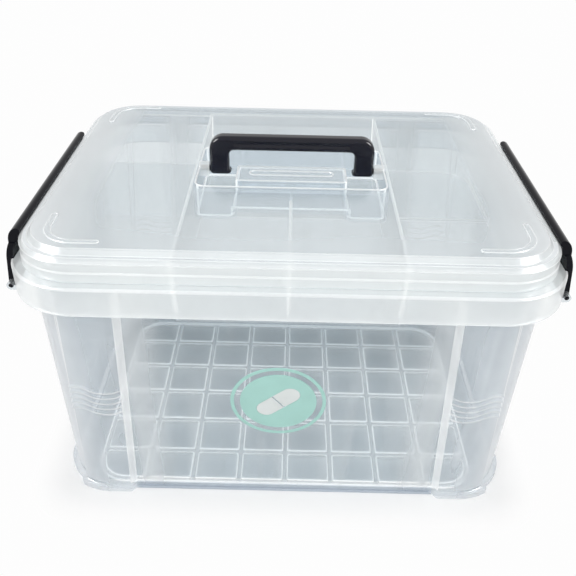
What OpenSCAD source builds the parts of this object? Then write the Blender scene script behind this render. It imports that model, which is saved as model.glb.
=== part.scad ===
// Clear storage box with a hinged carry handle, two side latches, a lift-out
// tray and a clip-on lid. Millimetres, +Z up, the box stands on z = 0 and the
// origin is under its middle. The front faces -Y.

/* [Lid] */
// Length of the lid, end to end
lid_length = 302.4; // [260:0.2:360]
// Depth of the lid, front to back
lid_depth = 237.6; // [200:0.2:300]
// Corner radius of the lid seen from above
lid_corner = 34.6; // [28:0.2:44]
// Wall thickness of the lid
lid_t = 1.8; // [1.2:0.1:2.6]
// Height of the lid from its lower edge to its flange
lid_rise = 13.9; // [11:0.1:18]
// Sloped edge that the latches bear on
lid_slope = 2.6; // [2.2:0.1:4.4]
// Distance from the lid's edge to the raised panel
panel_inset = 5; // [4:0.5:10]
// Height of the raised panel over the flange
panel_rise = 3.2; // [2:0.1:5]
// Height of the step line round the lid's edge
bead_height = 6.2; // [3:0.1:8]
// Width of the stacking beads
bead_w = 3.4; // [2:0.1:5]
// Distance from the panel's front and back edge to the middle of the stacking beads
bead_inset = 6.2; // [5:0.2:12]
// Distance from the panel's side edge to the middle of the stacking beads
bead_side_inset = 10; // [5:0.5:12]
// Length of a stacking bead past its bend, each way
bead_leg = 13; // [8:0.5:20]

/* [Handle well] */
// Length of the handle well in the lid
well_length = 119.4; // [112:0.2:124]
// Depth of the handle well, front to back
well_depth = 62.8; // [58:0.2:80]
// Distance from the panel to the bottom of the well
well_sink = 15.2; // [13:0.1:17]
// How far the side pockets go below the well
pocket_sink = 6; // [3:0.5:7]
// Half the length of the middle zone between the pockets
middle_half = 36; // [30:0.5:37]
// Depth of the raised bridge across the middle, front to back
bridge_depth = 23; // [14:0.5:24]
// Distance from the panel down to the top of the bridge
bridge_sink = 5; // [4:0.1:8]

/* [Tub] */
// Height of the ledge that the lid stands on
ledge_height = 182; // [150:1:230]
// Wall thickness of the tub
tub_t = 2; // [1.4:0.1:3]
// Gap between the lid's edge and the tub's lip
lid_gap = 0.6; // [0.4:0.1:1]
// How far the rim stands out past the lid
rim_out = 5.8; // [4:0.1:9]
// Drop of the skirt below the ledge
skirt_drop = 17.8; // [14:0.2:34]
// Height of the lip that the lid goes over
lip_rise = 9; // [6:0.1:9.4]
// How far the front and back walls draw in at the foot
wall_draft = 17; // [6:0.2:22]
// How far the corner pads stand proud of the front and back panels
pad_proud = 3.6; // [2:0.1:5]
// Half the distance between the pads at the rim
pad_x_top = 93; // [80:0.5:104]
// Half the distance between the pads at the foot
pad_x_foot = 101; // [80:0.5:106]
// How far the foot stands out past the end walls
foot_out = 4; // [2:0.5:6]
// How far the foot stands out past the front and back walls
foot_lip = 1.2; // [0.6:0.1:2.4]
// Height of the foot
foot_height = 5; // [3:0.5:8]
// Height of the top of the floor
floor_height = 6.4; // [5:0.1:10]

/* [Floor grid and grips] */
// Distance between the bars of the floor grid
grid_pitch = 32; // [26:0.5:38]
// Distance from the end walls to the ring round the grid
ring_end_margin = 17.6; // [8:0.4:30]
// Distance from the front and back panels to the ring
ring_front_margin = 3; // [2:0.5:12]
// Width of a bar
grid_w = 3; // [1.6:0.1:5]
// Depth of the bars under the floor
grid_deep = 2.6; // [1:0.1:4]
// Height of the lowest grip ridge
grip_height = 78; // [50:1:100]
// Distance between grip ridges
grip_pitch = 4.6; // [3.6:0.1:7]
// Number of grip ridges on each corner
grip_count = 5; // [3:1:7]
// How far the grip ridges stand out
grip_proud = 1; // [0.5:0.1:1.6]

/* [Tray] */
// Height of the top of the tray floor
tray_floor = 153.6; // [140:0.2:165]
// Wall thickness of the tray
tray_t = 1.6; // [1.2:0.1:2.4]
// Gap between the tray and the tub's lip
tray_gap = 1; // [0.6:0.1:2]
// Draw-in of the tray's end walls at its floor
tray_draft_x = 5; // [2:0.5:12]
// Draw-in of the tray's front and back walls at its floor
tray_draft_y = 10; // [4:0.5:16]
// Half the distance between the two long dividers
divider_x = 64; // [63.2:0.2:75]
// Place of the cross walls, behind the middle of the box
cross_y = 16; // [0:0.5:24]

/* [Handle] */
// Width of the handle over its legs
handle_width = 106; // [100:0.5:109]
// Width of a handle leg
leg_w = 12.5; // [9:0.5:15]
// Height of the grip's top over the hinge axis
grip_top = 23; // [20:0.5:27]
// Thickness of the grip, top to bottom
grip_t = 9.4; // [7:0.1:10]
// Depth of the handle, front to back
handle_depth = 9; // [6:0.5:10]
// Radius of the handle's hinge pins
handle_pin_r = 2; // [1.4:0.1:2.4]
// Height of the handle's axis below the top of the panel
handle_axis_sink = 1.9; // [1:0.1:3]

/* [Latches] */
// Length of a latch
latch_length = 156; // [120:1:180]
// Length of the lip that hooks over the lid
hook_length = 146; // [90:1:150]
// How far forward of the middle the latches sit
latch_forward = 16; // [0:1:20]
// Thickness of the latch plate
latch_t = 3; // [2.4:0.1:4.4]
// How deep the latches are let into the rim
latch_sink = 3; // [2:0.1:3.4]
// How far the hook's lip reaches in over the lid's edge
hook_reach = 2.2; // [1.6:0.1:2.4]
// Radius of the barrel at the latch's lower edge
barrel_r = 2.4; // [2:0.1:3]
// Radius of the latch pins
latch_pin_r = 1.4; // [1:0.1:1.6]
// Height of the latch axis below the ledge
latch_axis_drop = 16; // [10:0.5:22]
// Running clearance of pins in their bores, on the radius
pin_gap = 0.06; // [0.03:0.01:0.1]
// Clearance between neighbouring pieces
clear = 0.35; // [0.3:0.05:0.6]

/* [Badge] */
// Outside radius of the printed badge
badge_r = 29.5; // [20:0.5:32]
// Height of the badge's middle
badge_height = 89; // [60:1:110]
// Place of the badge to the left of the middle
badge_left = 5; // [0:1:20]
// Thickness of the print
ink_t = 0.3; // [0.2:0.05:0.5]

/* [Hidden] */
$fn = 48;
CLEAR = "#dfe7ea99";
BLACK = "#26262c";
TEAL = "#8fd0c4";
PALE = "#e6ebe8";

// Run of the panel's sloped side for each millimetre of its rise
panel_lean = 0.8;
// Chamfers on moulded edges, small and large
edge_break = 0.6;
rim_round = 1;

// The lid's edge is the outline that the rim, lip, skirt and tray follow
edge_a = lid_length / 2;
edge_b = lid_depth / 2;
lip_in = lid_t + lid_gap;
lip_top = ledge_height + lip_rise;
lid_z = ledge_height + clear;
flange_z = lid_z + lid_rise;
panel_z = flange_z + panel_rise;
well_z = panel_z - well_sink;
pocket_z = well_z - pocket_sink;
bridge_z = panel_z - bridge_sink;
panel_edge = panel_inset + panel_rise * panel_lean;
skirt_z = ledge_height - skirt_drop;

// Steps of a corner arc: the end wall's part, then the pad's part
arc_steps = 9;
end_angles = [0, 12, 24, 36, 46, 54];
pad_angles = [60, 70, 80, 90];
// Places along the flat part of a pad, as shares of its length
pad_shares = [0.35, 0.7];
// Run of the step from a pad to the panel beside it
pad_slope = 4;
// Share of the wall's thickness that the step moves by on the inside
step_share = 0.4;
// The grip ridges: height of their wave, its share round the corner, and the plain wall next to them
wave_height = 1.3;
corner_wave = 0.6;
grip_margin = 4;

// Distance from a pin's end to the well's wall, and from a leg to its lug
pin_end_gap = 0.8;
lug_gap = 0.5;
handle_z = panel_z - handle_axis_sink;
handle_pin_end = well_length / 2 - pin_end_gap;
lug_in = handle_width / 2 + lug_gap;
recess_x = edge_a + rim_out - latch_sink;
plate_in = recess_x + clear;
plate_out = plate_in + latch_t;
latch_x = plate_out;
latch_z = ledge_height - latch_axis_drop;
ear_t = 4;
ear_gap = 0.3;
tray_z = tray_floor - tray_t;
tray_top = lip_top + clear + tray_t;
// Rise of the slope over the foot, and height of the shoulder under the ledge
foot_slope = 1.6;
shoulder = 9;
wall_foot_z = foot_height + foot_slope;
wall_top_z = ledge_height - shoulder;

// Points of one corner arc about its own centre, from the end to the front
function arc(cx, cy, r, angles, z) = [for (t = angles) [cx + r * cos(t), cy + r * sin(t), z]];

// A quarter outline mirrored into a whole loop, counter-clockwise
function whole(q) = let (n = len(q)) concat(
    q,
    [for (i = [n - 1 : -1 : 0]) [-q[i][0], q[i][1], q[i][2]]],
    [for (p = q) [-p[0], -p[1], p[2]]],
    [for (i = [n - 1 : -1 : 0]) [q[i][0], -q[i][1], q[i][2]]]);

// A plain rounded rectangle loop at height z
function plain_loop(a, b, r, z) =
    whole(arc(a - r, b - r, r, [for (i = [0 : arc_steps]) 90 * i / arc_steps], z));

// The lid's edge, moved out by d
function edge_loop(d, z) = plain_loop(edge_a + d, edge_b + d, lid_corner + d, z);

// A body whose surface runs through the loops in turn, closed at both ends
module loft(loops) {
    n = len(loops[0]);
    m = len(loops);
    first = [0, 0, loops[0][0][2]];
    last = [0, 0, loops[m - 1][0][2]];
    points = concat([for (l = loops) for (p = l) p], [first, last]);
    sides = [for (i = [0 : m - 2]) for (j = [0 : n - 1]) let (k = (j + 1) % n)
        each [[i * n + j, (i + 1) * n + j, (i + 1) * n + k], [i * n + j, (i + 1) * n + k, i * n + k]]];
    low = [for (j = [0 : n - 1]) [m * n, j, (j + 1) % n]];
    high = [for (j = [0 : n - 1]) [m * n + 1, (m - 1) * n + (j + 1) % n, (m - 1) * n + j]];
    polyhedron(points, concat(sides, low, high));
}

// A rounded rectangle of half sizes a and b
module round_rect(a, b, r) {
    square([2 * a - 2 * r, 2 * b], center = true);
    square([2 * a, 2 * b - 2 * r], center = true);
    for (x = [-1, 1], y = [-1, 1])
        translate([x * (a - r), y * (b - r)])
            circle(r);
}

module round_block(a, b, r, z0, z1) {
    translate([0, 0, z0])
        linear_extrude(z1 - z0)
            round_rect(a, b, r);
}

// Tub

wall_a = edge_a - lip_in;
wall_b = edge_b - lip_in;
wall_r = lid_corner - lip_in;

// Share of the way up the wall, and the sizes that change with it
function up(z) = (z - wall_foot_z) / (wall_top_z - wall_foot_z);
function wall_half_depth(z) = wall_b - wall_draft * (1 - up(z));
function pad_x(z) = pad_x_foot + (pad_x_top - pad_x_foot) * up(z);

// The grip ridges wander up and down along the pad
function wave(share) = wave_height * sin(share * 360);

// The tub's outline: recessed front and back panels between proud corner pads
function tub_loop(z, inset, bump = 0, waves = 0, ends_out = 0) =
    let (
        a = wall_a - inset + ends_out,
        b = wall_half_depth(z) - inset - pad_proud,
        r = wall_r - inset,
        cx = a - r,
        cy = b - r,
        x = pad_x(z) - inset * step_share,
        pad_end = x + pad_slope,
        out = pad_proud + bump,
        last = len(pad_angles) - 1,
        pads = [for (i = [0 : last]) let (t = pad_angles[i], rise = waves * wave(corner_wave * i / last))
            [cx + (r + out) * cos(t), cy + (r + out) * sin(t), z + rise]],
        flat_pad = [for (s = pad_shares) let (rise = waves * wave(corner_wave + s * (1 - corner_wave)))
            [cx + (pad_end - cx) * s, b + out, z + rise]],
        step = [[pad_end, b + pad_proud, z], [x, b, z]])
    whole(concat(arc(cx, cy, r, end_angles, z), pads, flat_pad, step));

// The same number of points on the lid's edge moved out by d
function rim_loop(d, z) =
    let (
        b = edge_b + d,
        r = lid_corner + d,
        cx = edge_a + d - r,
        x = pad_x(min(z, wall_top_z)),
        pad_end = x + pad_slope,
        flat_pad = [for (s = pad_shares) [cx + (pad_end - cx) * s, b, z]],
        step = [[pad_end, b, z], [x, b, z]])
    whole(concat(arc(cx, b - r, r, concat(end_angles, pad_angles), z), flat_pad, step));

// A foot loop follows the wall's outline at its foot, moved out or in
function foot_loop(d, ends_out, z) =
    [for (p = tub_loop(wall_foot_z, -d, ends_out = ends_out)) [p[0], p[1], z]];

module tub_shell() {
    under = floor_height - tub_t;
    ends = foot_out - foot_lip;
    fillet = 4;
    grips = [for (i = [0 : 2 * grip_count])
        tub_loop(grip_height + i * grip_pitch / 2, 0, i % 2 == 1 ? grip_proud : 0, 1)];
    grips_end = grip_height + grip_count * grip_pitch;
    loft(concat(
        [foot_loop(-tub_t, 0, under), foot_loop(-tub_t, 0, 0)],
        [foot_loop(foot_lip - edge_break, ends, 0), foot_loop(foot_lip, ends, edge_break)],
        [foot_loop(foot_lip, ends, foot_height), tub_loop(wall_foot_z, 0)],
        [tub_loop(grip_height - grip_margin, 0)],
        grips,
        [tub_loop(grips_end + grip_margin, 0), tub_loop(wall_top_z, 0)],
        [rim_loop(-lip_in, ledge_height - tub_t)],
        [rim_loop(rim_out - tub_t, ledge_height - tub_t), rim_loop(rim_out - tub_t, skirt_z)],
        [rim_loop(rim_out, skirt_z), rim_loop(rim_out, ledge_height - rim_round)],
        [rim_loop(rim_out - rim_round, ledge_height), rim_loop(-lip_in, ledge_height)],
        [rim_loop(-lip_in, lip_top - edge_break), rim_loop(-lip_in - edge_break, lip_top)],
        [rim_loop(-lip_in - tub_t, lip_top), rim_loop(-lip_in - tub_t, ledge_height - tub_t)],
        [tub_loop(wall_top_z, tub_t), tub_loop(floor_height + fillet, tub_t)],
        [tub_loop(floor_height + fillet * 0.1, tub_t + fillet * 0.4)],
        [tub_loop(floor_height, tub_t + fillet)]));
}

// Bars and ring under the floor
module floor_grid() {
    ring_a = wall_a - ring_end_margin;
    ring_b = wall_half_depth(wall_foot_z) - pad_proud - ring_front_margin;
    ring_r = 20;
    least_cell = 0.5;
    columns = floor(ring_a / grid_pitch - least_cell);
    lines = floor(ring_b / grid_pitch - least_cell);
    translate([0, 0, floor_height - tub_t - grid_deep])
        linear_extrude(grid_deep + tub_t / 2) {
            difference() {
                round_rect(ring_a, ring_b, ring_r);
                round_rect(ring_a - grid_w, ring_b - grid_w, ring_r - grid_w);
            }
            for (i = [-columns : columns])
                translate([i * grid_pitch, 0])
                    square([grid_w, 2 * ring_b - grid_w], center = true);
            for (i = [-lines : lines])
                translate([0, i * grid_pitch])
                    square([2 * ring_a - grid_w, grid_w], center = true);
        }
}

// Half length of the skirt at a distance y from the middle
function skirt_x(y) =
    let (r = lid_corner + rim_out, bend = max(0, y - (edge_b + rim_out - r)))
    edge_a + rim_out - r + sqrt(r * r - bend * bend);

// One ear of a latch hinge on the right-hand skirt, and the bore for the latch pin
module ear(y) {
    ear_root = skirt_x(abs(y) + ear_t / 2) - tub_t - edge_break;
    translate([0, y, latch_z])
        rotate([90, 0, 0])
            linear_extrude(ear_t, center = true) {
                translate([latch_x, 0])
                    circle(barrel_r);
                translate([ear_root, -barrel_r])
                    square([latch_x - ear_root, 2 * barrel_r]);
            }
}

module ear_bore(y) {
    translate([latch_x, y, latch_z])
        rotate([90, 0, 0])
            cylinder(h = ear_t + 2 * clear, r = latch_pin_r + pin_gap, center = true);
}

// The right-hand skirt's recess, as wide as the latch between its ears
recess_half = latch_length / 2 + ear_gap;

module latch_recess() {
    past = 1;
    translate([recess_x, -recess_half - latch_forward, skirt_z - past])
        cube([rim_out, 2 * recess_half, skirt_drop + 2 * past]);
}

// Wall behind the latch, and its two ends
module recess_wall() {
    height = skirt_drop - tub_t / 2;
    translate([recess_x - tub_t, -recess_half - latch_forward - tub_t, skirt_z])
        cube([tub_t, 2 * recess_half + 2 * tub_t, height]);
    for (y = [-1, 1]) {
        middle = y * (recess_half + tub_t / 2) - latch_forward;
        translate([recess_x - tub_t, middle - tub_t / 2, skirt_z])
            cube([skirt_x(abs(middle) + tub_t / 2) - recess_x + tub_t / 2, tub_t, height]);
    }
}

// Recess wall and ears of the two latches
module hinge_side(ears) {
    recess_wall();
    for (y = ears)
        ear(y);
}

module tub() {
    ears = [for (y = [-1, 1]) y * (recess_half + ear_t / 2) - latch_forward];
    color(CLEAR)
        difference() {
            union() {
                difference() {
                    tub_shell();
                    for (x = [0, 1])
                        mirror([x, 0, 0])
                            latch_recess();
                }
                floor_grid();
                for (x = [0, 1])
                    mirror([x, 0, 0])
                        hinge_side(ears);
            }
            for (x = [0, 1], y = ears)
                mirror([x, 0, 0])
                    ear_bore(y);
        }
}

// Lid

well_corner = 6;
// How much shorter and narrower the well is at its bottom, on each side
well_draft = 0.6;
// The step line round the lid's edge: its run, and what is left of it under the slope
line_in = 0.5;
line_end = 0.2;

function well_loop(d, z) = plain_loop(well_length / 2 + d, well_depth / 2 + d, well_corner + d, z);

module lid_shell() {
    loft([
        well_loop(lid_t, well_z - lid_t), well_loop(lid_t, panel_z - lid_t),
        edge_loop(-panel_edge - edge_break, panel_z - lid_t),
        edge_loop(-panel_inset - rim_round, flange_z - lid_t),
        edge_loop(-lid_t, flange_z - lid_t), edge_loop(-lid_t, lid_z),
        edge_loop(0, lid_z), edge_loop(0, lid_z + bead_height - line_in),
        edge_loop(-line_in, lid_z + bead_height), edge_loop(-line_end, flange_z - lid_slope + line_end),
        edge_loop(-lid_slope, flange_z), edge_loop(-panel_inset, flange_z),
        edge_loop(-panel_edge, panel_z), well_loop(rim_round, panel_z),
        well_loop(0, panel_z - rim_round), well_loop(-well_draft, well_z)]);
}

// Half length and middle of a side pocket
pocket_half = (well_length / 2 - middle_half) / 2;
pocket_x = middle_half + pocket_half;
pocket_corner = 4;
// How far under the panel the cut of the pockets ends, inside the well
pocket_cut = 3;

module side_pocket(d, z0, z1) {
    for (x = [-1, 1])
        translate([x * pocket_x, 0, 0])
            round_block(pocket_half + d, well_depth / 2 - well_draft + d, pocket_corner + d, z0, z1);
}

module bridge(d, z0, z1) {
    bridge_corner = 2;
    round_block(middle_half - d, bridge_depth / 2 - d, bridge_corner, z0, z1);
}

// A bead round each corner of the panel, for the box stacked on top
module stacking_bead() {
    a = edge_a - panel_edge - bead_side_inset;
    b = edge_b - panel_edge - bead_inset;
    r = lid_corner - panel_edge - bead_side_inset;
    proud = 1.2;
    translate([a - r, b - r, panel_z - lid_t / 2])
        linear_extrude(lid_t / 2 + proud) {
            intersection() {
                difference() {
                    circle(r + bead_w / 2);
                    circle(r - bead_w / 2);
                }
                square(r + bead_w);
            }
            translate([-bead_leg, r - bead_w / 2])
                square([bead_leg, bead_w]);
            translate([r - bead_w / 2, -bead_leg])
                square([bead_w, bead_leg]);
            translate([-bead_leg, r])
                circle(bead_w / 2);
            translate([r, -bead_leg])
                circle(bead_w / 2);
        }
}

// Low oval bead on the bridge
module oval_bead() {
    half_length = middle_half - 8;
    half_depth = 4;
    line_w = 1.4;
    proud = 0.8;
    corner = half_depth - 0.1;
    translate([0, 0, bridge_z - lid_t / 2])
        linear_extrude(lid_t / 2 + proud)
            difference() {
                round_rect(half_length, half_depth, corner);
                round_rect(half_length - line_w, half_depth - line_w, corner - line_w);
            }
}

// Block on the well's end wall that holds the handle's pin
module handle_lug() {
    lug_wall = 2.2;
    half = handle_pin_r + lug_wall;
    length = well_length / 2 + lid_t / 2 - lug_in;
    start = 1;
    difference() {
        union() {
            translate([lug_in, -half, handle_z - half])
                cube([length, 2 * half, half]);
            translate([lug_in, 0, handle_z])
                rotate([0, 90, 0])
                    cylinder(h = length, r = half);
        }
        translate([lug_in - start, 0, handle_z])
            rotate([0, 90, 0])
                cylinder(h = handle_pin_end + clear - lug_in + start, r = handle_pin_r + pin_gap);
    }
}

module lid() {
    color(CLEAR) {
        difference() {
            union() {
                lid_shell();
                side_pocket(lid_t, pocket_z - lid_t, well_z - lid_t / 2);
                bridge(0, well_z - lid_t / 2, bridge_z);
            }
            side_pocket(0, pocket_z, panel_z - pocket_cut);
            bridge(lid_t, pocket_z, bridge_z - lid_t);
        }
        oval_bead();
        for (x = [0, 1], y = [0, 1])
            mirror([x, 0, 0])
                mirror([0, y, 0])
                    stacking_bead();
        for (x = [0, 1])
            mirror([x, 0, 0])
                handle_lug();
    }
}

// Tray

tray_a = edge_a - lip_in - tub_t - tray_gap;
tray_b = edge_b - lip_in - tub_t - tray_gap;
tray_r = lid_corner - lip_in - tub_t - tray_gap;
tray_foot_a = tray_a - tray_draft_x;
tray_foot_b = tray_b - tray_draft_y;
tray_foot_r = tray_r - 4;
// Clearances of the tray's walls under and in front of the lid's well
under_well_z = pocket_z - lid_t - 2;
well_front = well_depth / 2 + lid_t + 2.5;
low_rib = 2;
tray_fillet = 1;

// The tray's outline at its floor and just over it, moved in by d
function tray_foot_loop(d, z) = plain_loop(tray_foot_a - d, tray_foot_b - d, tray_foot_r - d, z);
function tray_foot_loops(d, z) = [tray_foot_loop(d + tray_fillet, z), tray_foot_loop(d, z + tray_fillet)];

function tray_loop(d, z) = plain_loop(tray_a - d, tray_b - d, tray_r - d, z);

module tray_shape() {
    loft(concat(tray_foot_loops(0, tray_z), [tray_loop(0, tray_top)]));
}

// The tray's flange rests on the tub's lip
module tray_shell() {
    flange_d = -lip_in - tub_t / 4;
    inside = tray_foot_loops(tray_t, tray_floor);
    loft(concat(
        tray_foot_loops(0, tray_z),
        [tray_loop(0, tray_top - tray_t)],
        [edge_loop(flange_d, tray_top - tray_t), edge_loop(flange_d, tray_top)],
        [tray_loop(tray_t, tray_top), inside[1], inside[0]]));
}

// An upright wall of the tray between two corners of its plan
module tray_wall(x0, x1, y0, y1, top) {
    translate([x0, y0, tray_z + tray_t / 2])
        cube([x1 - x0, y1 - y0, top - tray_z - tray_t / 2]);
}

module tray_walls() {
    half = tray_t / 2;
    for (x = [-divider_x, divider_x])
        tray_wall(x - half, x + half, -edge_b, edge_b, tray_top);
    tray_wall(-half, half, -edge_b, -well_front, tray_top);
    tray_wall(-half, half, -edge_b, cross_y, under_well_z);
    tray_wall(-divider_x, divider_x, cross_y - half, cross_y + half, under_well_z);
    tray_wall(-edge_a, -divider_x, cross_y - half, cross_y + half, tray_top);
    tray_wall(divider_x, edge_a, cross_y - half, cross_y + half, tray_floor + low_rib);
}

// The left-hand back corner is cut away for tall bottles standing on the floor
module tall_bay() {
    past = 1;
    translate([-edge_a - divider_x, cross_y + tray_t / 2, tray_z - past])
        cube([edge_a - tray_t / 2, edge_b, tray_top - tray_z + 2 * past]);
}

module tray() {
    color(CLEAR)
        difference() {
            union() {
                tray_shell();
                intersection() {
                    tray_shape();
                    tray_walls();
                }
            }
            tall_bay();
        }
}

// Carry handle

handle_half = handle_width / 2;
handle_top = handle_z + grip_top;
handle_foot = handle_z - handle_pin_r - edge_break / 3;

// The handle seen from the front
module handle_side() {
    outer_r = 9;
    inner_r = 3.5;
    opening = handle_half - leg_w;
    past = 1;
    difference() {
        union() {
            translate([-handle_half, handle_foot])
                square([handle_width, handle_top - outer_r - handle_foot]);
            translate([outer_r - handle_half, handle_foot])
                square([handle_width - 2 * outer_r, handle_top - handle_foot]);
            for (x = [-1, 1])
                translate([x * (handle_half - outer_r), handle_top - outer_r])
                    circle(outer_r);
        }
        translate([-opening, handle_foot - past])
            square([2 * opening, handle_top - grip_t - inner_r - handle_foot + past]);
        translate([inner_r - opening, handle_foot - past])
            square([2 * (opening - inner_r), handle_top - grip_t - handle_foot + past]);
        for (x = [-1, 1])
            translate([x * (opening - inner_r), handle_top - grip_t - inner_r])
                circle(inner_r);
    }
}

// Rounds the handle's long edges, seen along the grip
module handle_end_shape() {
    r = 2.6;
    foot_r = 1;
    half = handle_depth / 2;
    translate([-half, handle_foot + foot_r])
        square([handle_depth, handle_top - r - handle_foot - foot_r]);
    translate([r - half, handle_foot + foot_r])
        square([handle_depth - 2 * r, handle_top - handle_foot - foot_r]);
    translate([foot_r - half, handle_foot])
        square([handle_depth - 2 * foot_r, 2 * foot_r]);
    for (x = [-1, 1]) {
        translate([x * (half - r), handle_top - r])
            circle(r);
        translate([x * (half - foot_r), handle_foot + foot_r])
            circle(foot_r);
    }
}

// A shallow groove along the grip and a round dimple in each leg, front and back
module handle_details() {
    groove_half = handle_half - leg_w - 3;
    groove_r = 1.5;
    groove_z = handle_top - grip_t / 2;
    dimple_r = 1.8;
    dimple_x = handle_half - leg_w * 0.42;
    dimple_z = handle_z + 7;
    deep = 0.8;
    past = 1;
    for (y = [0, 1])
        mirror([0, y, 0])
            translate([0, deep - handle_depth / 2, 0])
                rotate([90, 0, 0])
                    linear_extrude(deep + past) {
                        translate([-groove_half, groove_z - groove_r])
                            square([2 * groove_half, 2 * groove_r]);
                        for (x = [-1, 1]) {
                            translate([x * groove_half, groove_z])
                                circle(groove_r);
                            translate([x * dimple_x, dimple_z])
                                circle(dimple_r);
                        }
                    }
}

module carry_handle() {
    pin_root = 2;
    color(BLACK) {
        difference() {
            intersection() {
                rotate([90, 0, 0])
                    linear_extrude(handle_depth, center = true)
                        handle_side();
                rotate([90, 0, 90])
                    linear_extrude(handle_width, center = true)
                        handle_end_shape();
            }
            handle_details();
        }
        for (x = [0, 1])
            mirror([x, 0, 0])
                translate([handle_half - pin_root, 0, handle_z])
                    rotate([0, 90, 0])
                        cylinder(h = handle_pin_end - handle_half + pin_root, r = handle_pin_r);
    }
}

// Latches

// Section of the right-hand latch: hook over the lid's slope, plate and barrel
module latch_section() {
    // Height over the flange where the lip's underside would cross the lid's edge
    slope = clear * sqrt(2) - lid_slope;
    tip = edge_a - hook_reach;
    tip_z = flange_z + slope + hook_reach;
    polygon([
        [plate_in, latch_z], [latch_x + barrel_r, latch_z], [plate_out, flange_z - 6.5],
        [plate_out - 0.8, flange_z - 2.6], [plate_out - 2.4, flange_z + 0.3], [plate_out - 5, flange_z + 1.9],
        [tip + 1.2, flange_z + 2.2], [tip, tip_z + 1.4], [tip, tip_z],
        [edge_a + clear, flange_z + slope - clear], [edge_a + clear, flange_z - 5.6],
        [plate_in, flange_z - 8]]);
    translate([latch_x, latch_z])
        circle(barrel_r);
}

// The latch from the side: a long plate under a shorter hook, with round corners
module latch_front() {
    r = 7;
    hook_z = flange_z - 7;
    hook_rise = 3;
    low = latch_z - barrel_r;
    translate([-latch_length / 2, low])
        square([latch_length, hook_z - r - low]);
    translate([r - latch_length / 2, low])
        square([latch_length - 2 * r, hook_z - low]);
    translate([-hook_length / 2, low])
        square([hook_length, flange_z + hook_rise - low]);
    for (y = [-1, 1])
        translate([y * (latch_length / 2 - r), hook_z - r])
            circle(r);
}

module latch() {
    pin_root = 1;
    color(BLACK)
        translate([0, -latch_forward, 0]) {
            intersection() {
                rotate([90, 0, 0])
                    linear_extrude(latch_length, center = true)
                        latch_section();
                rotate([90, 0, 90])
                    linear_extrude(plate_out + barrel_r)
                        latch_front();
            }
            for (y = [-1, 1])
                translate([latch_x, y * (latch_length + ear_t - pin_root) / 2, latch_z])
                    rotate([90, 0, 0])
                        cylinder(h = ear_t + pin_root, r = latch_pin_r, center = true);
        }
}

module right_latch() {
    latch();
}

module left_latch() {
    mirror([1, 0, 0])
        latch();
}

// Badge printed on the front panel

panel_tilt = atan(wall_draft / (wall_top_z - wall_foot_z));

module on_front_panel(z0, thick) {
    y = wall_half_depth(badge_height) - pad_proud;
    translate([-badge_left, -y, badge_height])
        rotate([90 + panel_tilt, 0, 0])
            translate([0, 0, z0])
                linear_extrude(thick)
                    children();
}

badge_disc_r = badge_r * 0.8;
badge_ring_w = 2.2;
capsule_length = badge_r * 1.05;
capsule_r = badge_r * 0.2;
capsule_turn = 40;
capsule_seam = 1.1;
ink_gap = 0.2;
// The print's distance from the panel
print_gap = 0.03;

module capsule(length, r) {
    rotate(capsule_turn) {
        square([length - 2 * r, 2 * r], center = true);
        for (x = [-1, 1])
            translate([x * (length / 2 - r), 0])
                circle(r);
    }
}

module badge_print() {
    color(TEAL)
        on_front_panel(print_gap, ink_t) {
            difference() {
                circle(badge_r);
                circle(badge_r - badge_ring_w);
            }
            difference() {
                circle(badge_disc_r);
                capsule(capsule_length + 2 * ink_gap, capsule_r + ink_gap);
            }
        }
}

module badge_capsule() {
    color(PALE)
        on_front_panel(print_gap, ink_t)
            difference() {
                capsule(capsule_length, capsule_r);
                rotate(capsule_turn)
                    square([capsule_seam, 3 * capsule_r], center = true);
            }
}

tub();
lid();
tray();
carry_handle();
left_latch();
right_latch();
badge_print();
badge_capsule();
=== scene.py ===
import math

import bmesh
import bpy
from mathutils import Matrix, Vector


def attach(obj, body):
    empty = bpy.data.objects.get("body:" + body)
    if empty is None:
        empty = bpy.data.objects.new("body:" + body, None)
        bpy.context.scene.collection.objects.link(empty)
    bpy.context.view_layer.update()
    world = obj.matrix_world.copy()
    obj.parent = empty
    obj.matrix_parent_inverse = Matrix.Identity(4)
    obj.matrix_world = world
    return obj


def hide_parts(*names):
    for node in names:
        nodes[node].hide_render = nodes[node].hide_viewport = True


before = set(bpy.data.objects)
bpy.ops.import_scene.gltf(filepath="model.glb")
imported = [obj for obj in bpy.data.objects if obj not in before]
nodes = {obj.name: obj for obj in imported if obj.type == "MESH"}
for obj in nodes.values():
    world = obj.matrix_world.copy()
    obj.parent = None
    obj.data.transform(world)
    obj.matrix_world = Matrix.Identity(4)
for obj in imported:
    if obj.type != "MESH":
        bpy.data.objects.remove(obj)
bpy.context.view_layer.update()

# Sizes in millimetres, as in the CAD source, where only GRIP_WAVE is smaller
MM = 0.001
EDGE_A, EDGE_B, LID_R, LID_T = 151.2, 118.8, 34.6, 1.8
LEDGE, TUB_T, RIM_OUT, CLEAR = 182.0, 2.0, 5.8, 0.35
LIP_IN, LIP_TOP, SKIRT_Z = 2.4, 191.0, 164.2
WALL_A, WALL_B, WALL_R = EDGE_A - LIP_IN, EDGE_B - LIP_IN, LID_R - LIP_IN
FOOT_Z, TOP_Z, DRAFT, PROUD = 6.6, 173.0, 17.0, 3.6
PAD_TOP, PAD_FOOT, PAD_SLOPE = 93.0, 101.0, 4.0
FLOOR_Z, UNDER_Z, FOOT_H, FOOT_OUT, FOOT_LIP = 6.4, 4.4, 5.0, 4.0, 1.2
GRIP_Z, GRIP_PITCH, GRIPS, GRIP_PROUD, GRIP_WAVE = 78.0, 4.6, 5, 1.0, 2.0
RING_IN, RING_R, GRID_PITCH, BAR_W, BAR_DROP = 17.6, 20.0, 32.0, 3.0, 2.6
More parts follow.
